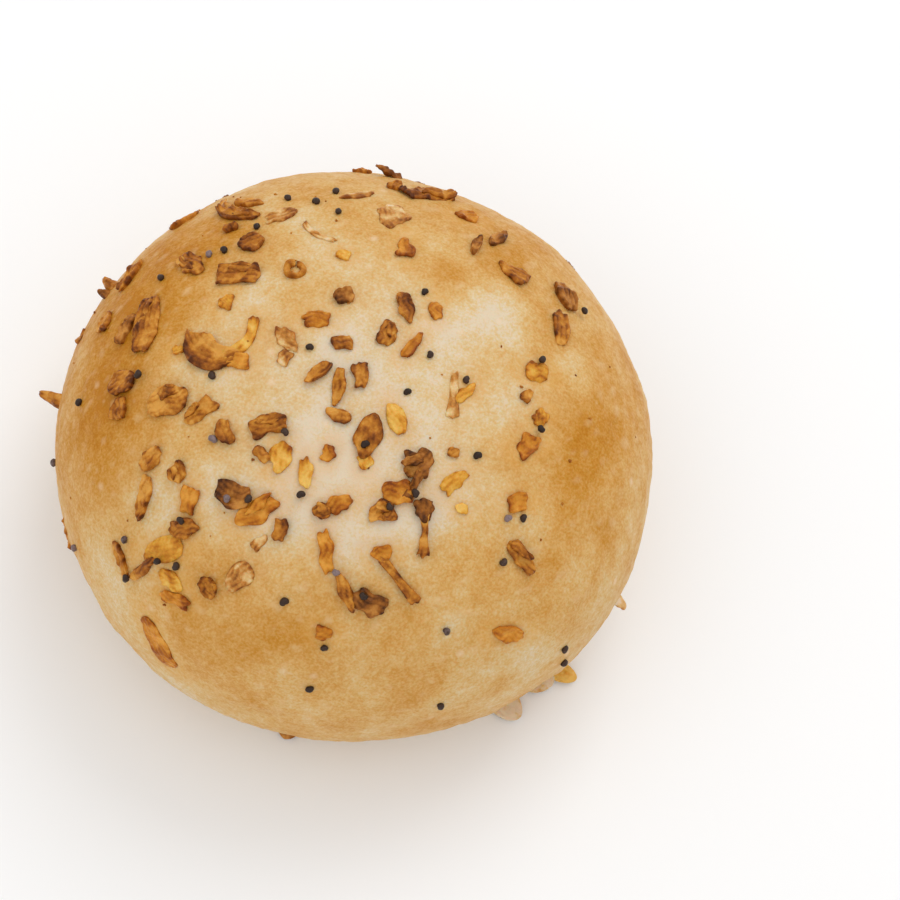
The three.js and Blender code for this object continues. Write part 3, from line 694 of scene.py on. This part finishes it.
def flakeSheet(long, wide, kind, random, form, sink=None):
    look = flakeLook[kind]
    sides = zip(flakeMesh["fewest"], (long, wide))
    size = [max(fewest, math.ceil(side / flakeMesh["step"])) for fewest, side in sides]
    u, v = np.meshgrid(*[np.linspace(-1, 1, count) for count in size], indexing="ij")
    u = 0.6 * u.ravel() + 0.4 * np.sin(u.ravel() * math.pi / 2)  # closer near the edges
    v = 0.6 * v.ravel() + 0.4 * np.sin(v.ravel() * math.pi / 2)
    edge = np.maximum(np.abs(u), np.abs(v))
    roundness = form.get("round", random.uniform(0.35, 1.0))
    x = u * (1 - roundness * (1 - np.sqrt(1 - v * v / 2)))
    y = v * (1 - roundness * (1 - np.sqrt(1 - u * u / 2)))
    profile = form.get("profile", flakeProfiles[random.integers(len(flakeProfiles))])
    y *= np.interp(u, np.linspace(-1, 1, len(profile)), profile)
    ragged = flakeMesh["ragged"] * form.get("ragged", 1.0)
    ragged = ragged * randomWaves(np.arctan2(y, x), random, *flakeMesh["outlineWaves"]) * edge**3
    x *= (1 + 0.7 * ragged) * long / 2
    y *= (1 + ragged) * wide / 2
    across = y / wide * 2
    y += flakeMesh["wavy"] * wide * randomWaves(u, random, *flakeMesh["sideWaves"])
    curl = look["curl"] * random.uniform(0.5, 1.3)
    style = form.get("style", random.choice(["trough", "trough", "roll", "flat"]))
    rise = look["thick"] * random.uniform(0.85, 1.15) + 0.3 * curl * random.normal() * u
    rise = rise + 0.35 * curl * random.uniform(-0.3, 1.0) * (u * u - 0.3)
    if style == "trough":
        rise += curl * ((across - 0.2 * random.normal()) ** 2 - 0.3)
    if style == "roll":
        rise += curl * (0.35 - across**2)
    local = np.column_stack([x, y, np.zeros_like(x)])
    seed = int(random.integers(1, 1 << 30))
    patchSize, fineSize = flakeMesh["crumpleSizes"]
    patch = waveNoise(local, patchSize, seed, 10)
    fine = waveNoise(local, fineSize, seed + 1, 10)
    drift = 0.3 * randomWaves(u, random, *flakeMesh["sideWaves"])
    phase = 2 * math.pi * (y / flakeMesh["vein"] + drift + random.uniform())
    groove = (0.5 + 0.5 * np.cos(phase)) ** 2.5 * np.clip(0.75 + 0.35 * patch, 0.2, 1.2)
    rise += look["crumple"] * (patch + 0.4 * fine) - look["ridge"] * groove
    top = np.maximum(rise, flakeMesh["lowest"]) * (1 - flakeMesh["edgeDrop"] * smooth(edge, 0.8, 1.0))
    under = top - flakeMesh["lip"]
    if sink is not None:
        held = 1 - smooth(edge, random.uniform(0.72, 0.86), 0.97)
        under = under * (1 - held) - sink * held
        under = np.minimum(under, top - 0.1)
    rim = smooth(edge, 0.74, 0.99) * np.clip(0.8 + 0.3 * fine, 0.1, 1.2)
    toast = look["toast"] + form.get("toast", 0.0) + toastLook["chance"] * random.normal()
    along = form.get("along", toastLook["chanceAlong"] * random.normal())
    across = form.get("across", toastLook["chanceAcross"] * random.normal())
    toast = toast + along * u + across * v
    # painted shade: the grooves get browner, as if shaded
    lines = toastLook["groove"] * form.get("lines", 1.0) * groove
    toast = toast + lines + toastLook["rim"] * form.get("rim", 1.0) * rim
    toast = toast + toastLook["patch"] * patch + toastLook["fine"] * fine
    return x, y, top, under, toast, size


def sheetFaces(rows, columns):
    cell = np.arange(rows * columns).reshape(rows, columns)
    top = cellFaces(cell)
    under = top[:, ::-1] + rows * columns
    loop = np.concatenate([cell[:, 0], cell[-1, 1:], cell[-2::-1, -1], cell[0, -2:0:-1]])
    ahead = np.roll(loop, -1)
    side = np.stack([ahead, loop, loop + rows * columns, ahead + rows * columns], axis=-1)
    return np.concatenate([top, under, side])


class Batch:  # gathers the flakes or seeds of one kind into one mesh
    def __init__(self):
        self.points = []
        self.faces = []
        self.masks = {}
        self.count = 0

    def add(self, points, faces, masks):
        self.points.append(points)
        self.faces.append(faces + self.count)
        for name, values in masks.items():
            self.masks.setdefault(name, []).append(values)
        self.count += len(points)

    def piece(self, name, slot):
        faces = [face for part in self.faces for face in part.tolist()]
        piece = makePiece(name, np.concatenate(self.points), faces)
        for mask, values in self.masks.items():
            addMask(piece, mask, np.concatenate(values))
        return piece


def layFlake(row, batch, random):
    right, back, long, wide, turn, bend, kind = row
    place = placeOnCrust(right, back)
    form = flakeForms.get((right, back), {})
    aside = smooth(np.array(math.hypot(right, back)), *flakeMesh["flattenFrom"])
    flat = 1 - flakeMesh["flatten"] * aside

    def lay(sheet, turned, shiftX, shiftY, lift):
        x, y, top, under, toast, size = sheet
        xx = x * math.cos(turned) - y * math.sin(turned) + shiftX
        yy = x * math.sin(turned) + y * math.cos(turned) + shiftY
        foot = spineAt(place, xx, yy, long, turn, bend)
        normals = crustNormal(foot)
        foot = foot + normals * (crustRelief(foot) - flakeMesh["bury"])[:, None]
        top = (top + lift) * flat
        under = np.where(under + lift > 0, (under + lift) * flat, under + lift)
        points = np.concatenate([foot + normals * top[:, None], foot + normals * under[:, None]])
        batch.add(points, sheetFaces(*size), {"toast": np.tile(toast, 2)})

    lay(flakeSheet(long, wide, kind, random, form, flakeMesh["sink"]), 0.0, 0.0, 0.0, 0.0)
    large = wide > flapLook["widerThan"] and kind in toastedKinds
    if form.get("flap", large and random.uniform() < flapLook["share"]):
        flapLong = long * random.uniform(*flapLook["long"])
        flapWide = wide * random.uniform(*flapLook["wide"])
        flap = flakeSheet(flapLong, flapWide, kind, random, {}, flapLook["sink"])
        shiftX = random.uniform(*flapLook["ahead"]) * long
        shiftY = random.choice([-1, 1]) * random.uniform(*flapLook["aside"]) * wide
        lay(flap, random.uniform(*flapLook["turn"]), shiftX, shiftY, flapLook["lift"])


edgeFlakes = {
    "spurOut": 0.35,  # how far a spur's middle is from the crust, as a share of its length
    "spurLonger": 1.2,  # as its root is inside the crust
    "baseHeight": 0.9,  # mm
    "clear": 0.05,  # mm over the floor
}
spurForm = own(
    1.15, 1, 0.8, 0.55, round=0.5, ragged=0.6, style="roll", lines=0.5, toast=-0.04, along=0.0,
)
# along makes the inner end of these pieces, under the roll's edge, browner: painted shade
baseForm = own(
    1, 1, 1, round=1.0, ragged=0.4, style="roll", lines=0.3, toast=-0.06, along=-0.24, rim=0.5,
)


def standFlake(origin, ahead, side, long, wide, kind, batch, random, form):
    x, y, top, under, toast, size = flakeSheet(long, wide, kind, random, form)
    middle = (top + under).mean() / 2
    over = np.cross(ahead, side)
    flat = origin + np.outer(x, ahead) + np.outer(y, side)
    heights = np.concatenate([top, under]) - middle
    points = np.tile(flat, (2, 1)) + np.outer(heights, over)
    points[:, 2] = np.maximum(points[:, 2], edgeFlakes["clear"])
    batch.add(points, sheetFaces(*size), {"toast": np.tile(toast, 2)})


crumbs = {
    "seed": 21,
    "count": 44,
    "leanTo": 62.0,  # degrees from the crown
    "towardsLeft": 34.0,  # more of them on the left
    "size": (0.25, 0.5),  # mm
    "uneven": (0.6, 1.2),
    "lumps": 0.16,
    "toast": (0.25, 0.8),
}


def addCrumbs(batch, random):
    form, faces = cubeSphere(4)
    for number in range(crumbs["count"]):
        lean = crumbs["leanTo"] * math.sqrt(random.uniform())
        around = random.uniform(0, 2 * math.pi)
        right = lean * math.cos(around) - crumbs["towardsLeft"] * random.uniform()
        place = placeOnCrust(right, lean * math.sin(around))
        size = random.uniform(*crumbs["size"]) * random.uniform(*crumbs["uneven"], size=3)
        lumps = 1 + crumbs["lumps"] * waveNoise(form, 1.2, 900 + number, 8)[:, None]
        local = form * lumps * size / 2
        points = place["point"] + local @ np.array([place["toRight"], place["toBack"], place["normal"]])
        points += place["normal"] * (reliefAt(place) + size[2] * 0.12)
        batch.add(points, faces, {"toast": np.full(len(points), random.uniform(*crumbs["toast"]))})


def makeFlakes():
    random = np.random.default_rng(flakeMesh["seed"])
    batches = {kind: Batch() for kind in flakeLook}
    for row in allFlakes:
        layFlake(row, batches[row[6]], random)
    for right, back, long, wide, turn, rise, kind in spurs:
        place = placeOnCrust(right, back)
        level = wayOnCrust(place, math.radians(turn))
        rise = math.radians(rise)
        ahead = level * math.cos(rise) + place["normal"] * math.sin(rise)
        side = np.cross(place["normal"], level)
        origin = place["point"] + ahead * long * edgeFlakes["spurOut"]
        long = long * edgeFlakes["spurLonger"]
        standFlake(origin, ahead, side, long, wide, kind, batches[kind], random, spurForm)
    for direction, start, end, wide, kind in baseFlakes:
        around = math.radians(direction)
        ahead = np.array([math.cos(around), math.sin(around), 0.0])
        side = np.array([-ahead[1], ahead[0], 0.0])
        origin = ahead * (start + end) / 2 + np.array([0.0, 0.0, edgeFlakes["baseHeight"]])
        standFlake(origin, ahead, side, end - start, wide, kind, batches[kind], random, baseForm)
    addCrumbs(batches["brown"], np.random.default_rng(crumbs["seed"]))
    pieces = {}
    for kind, batch in batches.items():
        slot = "toasted_onion" if kind in toastedKinds else "golden_onion"
        pieces[kind] = batch.piece("onion_" + kind, slot)
    return pieces


flakes = makeFlakes()
for kind, piece in flakes.items():
    print("onion flakes,", kind + ":", len(piece.data.polygons), "faces")


# Poppy seeds
seedLook = {
    "seed": 12,
    "long": 1.25,  # mm
    "wide": 1.0,
    "high": 0.95,
    "sink": 0.22,  # share of the height that is in the crust
    "notch": 0.16,  # depth of the hollow that gives a seed its kidney form
    "sizes": (0.95, 1.14),  # of the smallest and the largest
    "tilt": 0.25,  # radians
    "lumps": 0.03,
    "dark": (0.0, 0.55),  # tone from black to grey
    "grey": (0.7, 1.0),
    "split": 10,
}


def seedForm(split):
    directions, faces = cubeSphere(split)
    x, y, z = directions.T
    y = y - seedLook["notch"] * (1 - np.exp(-((x / 0.5) ** 2))) * 0.9
    y = y + seedLook["notch"] * np.exp(-((x / 0.35) ** 2)) * (y < 0) * -y
    sizes = np.array([seedLook["long"], seedLook["wide"], seedLook["high"]])
    return np.column_stack([x, y, z]) * sizes / 2, faces


def makeSeeds():
    random = np.random.default_rng(seedLook["seed"])
    form, faces = seedForm(seedLook["split"])
    batch = Batch()
    for right, back in allSeeds:
        place = placeOnCrust(right, back)
        xAxis = wayOnCrust(place, random.uniform(0, 2 * math.pi))
        tilt = random.normal() * seedLook["tilt"]
        size = random.uniform(*seedLook["sizes"])
        yAxis = np.cross(place["normal"], xAxis)
        zAxis = place["normal"] * math.cos(tilt) + xAxis * math.sin(tilt)
        xAxis = np.cross(yAxis, zAxis)
        lift = reliefAt(place) + seedLift(place["point"])
        lift += seedLook["high"] * (0.5 - seedLook["sink"])
        middle = place["point"] + place["normal"] * lift
        lumps = waveNoise(form, 0.7, int(random.integers(1, 9999)), 8)
        lumps = 1 + seedLook["lumps"] * lumps[:, None]
        local = form * size * lumps
        points = middle + local @ np.array([xAxis, yAxis, zAxis])
        tone = random.uniform(*seedLook["grey" if (right, back) in greySeeds else "dark"])
        batch.add(points, faces, {"tone": np.full(len(points), tone)})
    return batch.piece("poppy_seeds", "poppy_seed")


def seedLift(point):  # a seed on a flake sits on its top
    lift = 0.0
    for row in allFlakes:
        spine = flakeSpine(row, 7)
        gap = np.linalg.norm(spine - point, axis=1).min() - row[3] / 2
        if gap < 0.1:
            lift = max(lift, flakeLook[row[6]]["thick"] * 0.9)
    return lift


seeds = makeSeeds()
print("poppy seeds made:", len(seeds.data.polygons), "faces")


# Node groups shared by the materials
def newGroup(name, inputs):  # takes numbers and gives one mask
    group = bpy.data.node_groups.new(name, "ShaderNodeTree")
    for label, value in inputs.items():
        socket = group.interface.new_socket(name=label, in_out="INPUT", socket_type="NodeSocketFloat")
        socket.default_value = value
    group.interface.new_socket(name="Mask", in_out="OUTPUT", socket_type="NodeSocketFloat")
    return group, group.nodes.new("NodeGroupInput"), group.nodes.new("NodeGroupOutput")


def joinAll(tree, rows):
    for source, output, target, taker in rows:
        tree.links.new(source.outputs[output], target.inputs[taker])


def addNode(tree, kind, settings=None, values=None):
    node = tree.nodes.new("ShaderNode" + kind)
    for name, value in (settings or {}).items():
        setattr(node, name, value)
    for name, value in (values or {}).items():
        node.inputs[name].default_value = value
    return node


def makeMottle():  # cloudy patches, 0 to 1
    sockets = {"Scale": 300.0, "Detail": 3.0, "Low": 0.35, "High": 0.65}
    group, given, result = newGroup("mottle", sockets)
    place = addNode(group, "TexCoord")
    cloud = addNode(group, "TexNoise", None, {"Roughness": 0.55})
    spread = addNode(group, "MapRange", {"interpolation_type": "SMOOTHSTEP"})
    joinAll(group, [
        (place, "Object", cloud, "Vector"), (given, "Scale", cloud, "Scale"),
        (given, "Detail", cloud, "Detail"), (cloud, "Fac", spread, "Value"),
        (given, "Low", spread, "From Min"), (given, "High", spread, "From Max"),
        (spread, "Result", result, "Mask"),
    ])
    return group


def makeSpeckle():  # small round dots, 1 in a dot and 0 between
    group, given, result = newGroup("speckle", {"Scale": 900.0, "Size": 0.3, "Share": 0.4})
    place = addNode(group, "TexCoord")
    cells = addNode(group, "TexVoronoi", {"feature": "F1"}, {"Randomness": 1.0})
    fall = {"To Min": 1.0, "To Max": 0.0}
    dot = addNode(group, "MapRange", {"interpolation_type": "SMOOTHSTEP"}, fall)
    pick = addNode(group, "SeparateColor")
    chosen = addNode(group, "Math", {"operation": "LESS_THAN"})
    both = addNode(group, "Math", {"operation": "MULTIPLY"})
    joinAll(group, [
        (place, "Object", cells, "Vector"), (given, "Scale", cells, "Scale"),
        (cells, "Distance", dot, "Value"), (given, "Size", dot, "From Max"),
        (cells, "Color", pick, "Color"), (pick, "Red", chosen, 0), (given, "Share", chosen, 1),
        (dot, "Result", both, 0), (chosen, "Value", both, 1), (both, "Value", result, "Mask"),
    ])
    return group


mottle = makeMottle()
speckle = makeSpeckle()


def linear(colour):  # an sRGB colour of 0 to 255, as a node colour
    shares = [value / 255 for value in colour]
    return [s / 12.92 if s <= 0.04045 else ((s + 0.055) / 1.055) ** 2.4 for s in shares] + [1.0]


class Shading:  # one material's nodes, with short ways to add and join them
    def __init__(self, name):
        self.material = bpy.data.materials.new(name)
        self.material.use_nodes = True
        self.tree = self.material.node_tree
        self.bsdf = self.tree.nodes["Principled BSDF"]

    def node(self, kind, settings=None, values=None):
        return addNode(self.tree, kind, settings, values)

    def join(self, source, target):
        self.tree.links.new(source, target)

    def mask(self, name):
        return self.node("Attribute", {"attribute_name": name}).outputs["Fac"]

    def group(self, group, values):
        node = self.node("Group", {"node_tree": group}, values)
        return node.outputs["Mask"]

    def cloudy(self, scale, detail, low=0.3, high=0.7):
        return self.group(mottle, {"Scale": scale, "Detail": detail, "Low": low, "High": high})

    def dotted(self, scale, size, share):
        return self.group(speckle, {"Scale": scale, "Size": size, "Share": share})

    def feed(self, socket, value):
        if isinstance(value, (int, float, list)):
            socket.default_value = value
        else:
            self.join(value, socket)

    def math(self, operation, first, second):
        node = self.node("Math", {"operation": operation})
        for socket, value in zip(node.inputs, (first, second)):
            self.feed(socket, value)
        return node.outputs["Value"]

    def times(self, first, second):
        return self.math("MULTIPLY", first, second)

    def vary(self, value, mask, share):  # more where the mask is over a half, less where it is under
        return self.math("ADD", value, self.times(self.math("SUBTRACT", mask, 0.5), share))

    def between(self, mask, low, high):
        return self.math("ADD", self.times(mask, high - low), low)

    def mix(self, factor, first, second):
        node = self.node("Mix", {"data_type": "RGBA"})
        for socket, value in ((0, factor), (6, first), (7, second)):
            self.feed(node.inputs[socket], value)
        return node.outputs[2]

    def tint(self, colour, factor, other):
        return self.mix(factor, colour, linear(other))

    def ramp(self, factor, stops):
        node = self.node("ValToRGB")
        elements = node.color_ramp.elements
        while len(elements) < len(stops):
            elements.new(0.5)
        for element, (at, colour) in zip(elements, stops):
            element.position = at
            element.color = linear(colour)
        self.join(factor, node.inputs["Fac"])
        return node.outputs["Color"]

    def bump(self, height, strength, high, normal=None):  # high in mm
        node = self.node("Bump", None, {"Strength": strength, "Distance": high * mm})
        self.join(height, node.inputs["Height"])
        if normal is not None:
            self.join(normal, node.inputs["Normal"])
        return node.outputs["Normal"]

    def finish(self, surface):
        for name, value in surface.items():
            self.feed(self.bsdf.inputs[name], value)
        return self.material


# Crust finish
crustFinish = {
    "stops": [  # browning from the pale cap to the darkest shoulder
        (0.0, (216, 197, 168)), (0.2, (213, 184, 134)), (0.4, (209, 166, 100)), (0.6, (201, 148, 74)),
        (0.8, (191, 131, 42)), (1.0, (179, 113, 8)),
    ],
    "halo": (216, 200, 180),
    "stain": (214, 156, 70),
    "blister": (222, 192, 148),
    "spot": (228, 200, 168),
    "haloShare": 0.2,
    "stainShare": 0.3,
    "blisterShare": 0.26,
    "spotShare": 0.6,
    "dotShare": 0.28,
    # scale, detail, and how much each changes the browning
    "patches": (170.0, 4.0, 0.12),
    "grain": (900.0, 3.0, 0.13),
    "fine": (2600.0, 2.0, 0.22),
    # scale, size, and the share of the places that have one
    "dots": (620.0, 0.32, 0.4),
    "spots": (200.0, 0.2, 0.32),
    # strength, height in mm
    "grainBump": (0.35, 0.12),
    "fineBump": (0.4, 0.06),
    "dotBump": (0.25, 0.06),
    "roughness": (0.42, 0.62),
    "surface": {"Subsurface Weight": 0.12, "Subsurface Scale": 0.002, "Specular IOR Level": 0.18},
}


def makeCrustMaterial():
    look = crustFinish
    s = Shading("crust")
    browningAndPaintedLight = s.mask("browningAndPaintedLight")
    clouds = {}
    for name in ("patches", "grain", "fine"):
        scale, detail, share = look[name]
        clouds[name] = s.cloudy(scale, detail)
        browningAndPaintedLight = s.vary(browningAndPaintedLight, clouds[name], share)
    dots = s.dotted(*look["dots"])
    colour = s.ramp(browningAndPaintedLight, look["stops"])
    colour = s.tint(colour, s.times(s.mask("halo"), look["haloShare"]), look["halo"])
    colour = s.tint(colour, s.times(s.mask("stain"), look["stainShare"]), look["stain"])
    light = s.times(dots, s.times(s.mask("browningAndPaintedLight"), look["dotShare"]))
    light = s.math("MAXIMUM", light, s.times(s.mask("blister"), look["blisterShare"]))
    colour = s.tint(colour, light, look["blister"])
    colour = s.tint(colour, s.times(s.dotted(*look["spots"]), look["spotShare"]), look["spot"])
    normal = s.bump(clouds["grain"], *look["grainBump"])
    normal = s.bump(clouds["fine"], *look["fineBump"], normal)
    normal = s.bump(dots, *look["dotBump"], normal)
    roughness = s.between(clouds["grain"], *look["roughness"])
    return s.finish({"Base Color": colour, "Roughness": roughness, "Normal": normal, **look["surface"]})


crust.data.materials.append(makeCrustMaterial())

# Onion finish: colours by toast and painted shade, from raw at 0 to burnt at 1, and how much light goes
# through
onionColours = {
    "brown": [
        (0.0, (212, 152, 68)), (0.3, (188, 121, 38)), (0.55, (156, 90, 22)), (0.8, (116, 60, 12)),
        (1.0, (84, 40, 8)),
    ],
    "dark": [(0.0, (198, 136, 62)), (0.4, (156, 94, 32)), (0.7, (112, 62, 16)), (1.0, (66, 32, 8))],
    "orange": [(0.0, (218, 152, 60)), (0.4, (191, 120, 30)), (0.7, (160, 88, 16)), (1.0, (120, 56, 6))],
    "golden": [(0.0, (228, 182, 92)), (0.4, (210, 148, 48)), (0.7, (182, 112, 24)), (1.0, (138, 74, 12))],
    "pale": [
        (0.0, (225, 201, 170)), (0.25, (218, 180, 120)), (0.6, (188, 126, 54)), (1.0, (130, 72, 22)),
    ],
}
onionThrough = {"brown": 0.06, "dark": 0.03, "orange": 0.12, "golden": 0.2, "pale": 0.2}
onionFinish = {
    # scale, detail, low and high end
    "patches": (650.0, 3.0, 0.3, 0.7),
    "grain": (2600.0, 3.0, 0.25, 0.75),
    "patchShare": 0.17,  # how much each changes the toast
    "grainShare": 0.14,
    "patchBump": (0.4, 0.1),  # strength, height in mm
    "grainBump": (0.35, 0.05),
    "roughness": (0.34, 0.54),
    "surface": {"Subsurface Scale": 0.0015, "Specular IOR Level": 0.15},
}


def makeOnionMaterial(kind):
    s = Shading("onion_" + kind)
    patches = s.cloudy(*onionFinish["patches"])
    grain = s.cloudy(*onionFinish["grain"])
    toast = s.vary(s.mask("toast"), patches, onionFinish["patchShare"])
    toast = s.vary(toast, grain, onionFinish["grainShare"])
    colour = s.ramp(toast, onionColours[kind])
    normal = s.bump(patches, *onionFinish["patchBump"])
    normal = s.bump(grain, *onionFinish["grainBump"], normal)
    roughness = s.between(grain, *onionFinish["roughness"])
    surface = {"Subsurface Weight": onionThrough[kind], **onionFinish["surface"]}
    return s.finish({"Base Color": colour, "Roughness": roughness, "Normal": normal, **surface})


for kind, piece in flakes.items():
    piece.data.materials.append(makeOnionMaterial(kind))

# Seed finish
seedFinish = {
    "stops": [(0.0, (38, 22, 12)), (0.6, (62, 42, 29)), (1.0, (130, 111, 110))],
    "grain": (2400.0, 2.0),  # scale, detail
    "grainShare": 0.25,  # how much it changes the tone
    "net": 5200.0,  # scale of the net of ridges
    "netBump": (0.5, 0.05),  # strength, height in mm
    "roughness": (0.38, 0.58),
    "surface": {"Specular IOR Level": 0.28},
}


def makeSeedMaterial():
    s = Shading("poppy_seed")
    grain = s.cloudy(*seedFinish["grain"])
    net = s.node("TexVoronoi", {"feature": "DISTANCE_TO_EDGE"}, {"Scale": seedFinish["net"]})
    place = s.node("TexCoord")
    s.join(place.outputs["Object"], net.inputs["Vector"])
    colour = s.ramp(s.vary(s.mask("tone"), grain, seedFinish["grainShare"]), seedFinish["stops"])
    normal = s.bump(net.outputs["Distance"], *seedFinish["netBump"])
    roughness = s.between(grain, *seedFinish["roughness"])
    surface = seedFinish["surface"]
    return s.finish({"Base Color": colour, "Roughness": roughness, "Normal": normal, **surface})


seeds.data.materials.append(makeSeedMaterial())
print("materials made")


# Studio
studio = {
    "floor": (245, 245, 245),
    "floorRoughness": 0.9,
    "floorReach": 3.0,  # m
    "world": 0.87,  # brightness
    # power in W, size in m, direction
    "lamps": {"key": (2.0, 0.5, (0.25, 0.7, 1.0)), "fill": (0.95, 0.9, (-0.6, -0.6, 0.8))},
    "distance": 0.9,  # m
}


def addLight(name, power, size, direction):
    data = bpy.data.lights.new(name, "AREA")
    data.energy = power
    data.size = size
    lamp = addToScene(name, data)
    way = Vector(direction).normalized()
    lamp.location = way * studio["distance"]
    lamp.rotation_mode = "QUATERNION"
    lamp.rotation_quaternion = way.to_track_quat("Z", "Y")


def makeStudio():
    reach = studio["floorReach"]
    mesh = bpy.data.meshes.new("floor")
    corners = [(-reach, -reach, 0), (reach, -reach, 0), (reach, reach, 0), (-reach, reach, 0)]
    mesh.from_pydata(corners, [], [(0, 1, 2, 3)])
    floor = addToScene("floor", mesh)
    surface = {"Base Color": linear(studio["floor"]), "Roughness": studio["floorRoughness"]}
    mesh.materials.append(Shading("floor").finish(surface))
    world = bpy.data.worlds.new("studio")
    world.use_nodes = True
    background = world.node_tree.nodes["Background"]
    background.inputs["Color"].default_value = (1.0, 1.0, 1.0, 1.0)
    background.inputs["Strength"].default_value = studio["world"]
    bpy.context.scene.world = world
    for name, lamp in studio["lamps"].items():
        addLight(name, *lamp)
    bpy.context.scene.view_settings.view_transform = "Standard"


makeStudio()
print("studio lit")
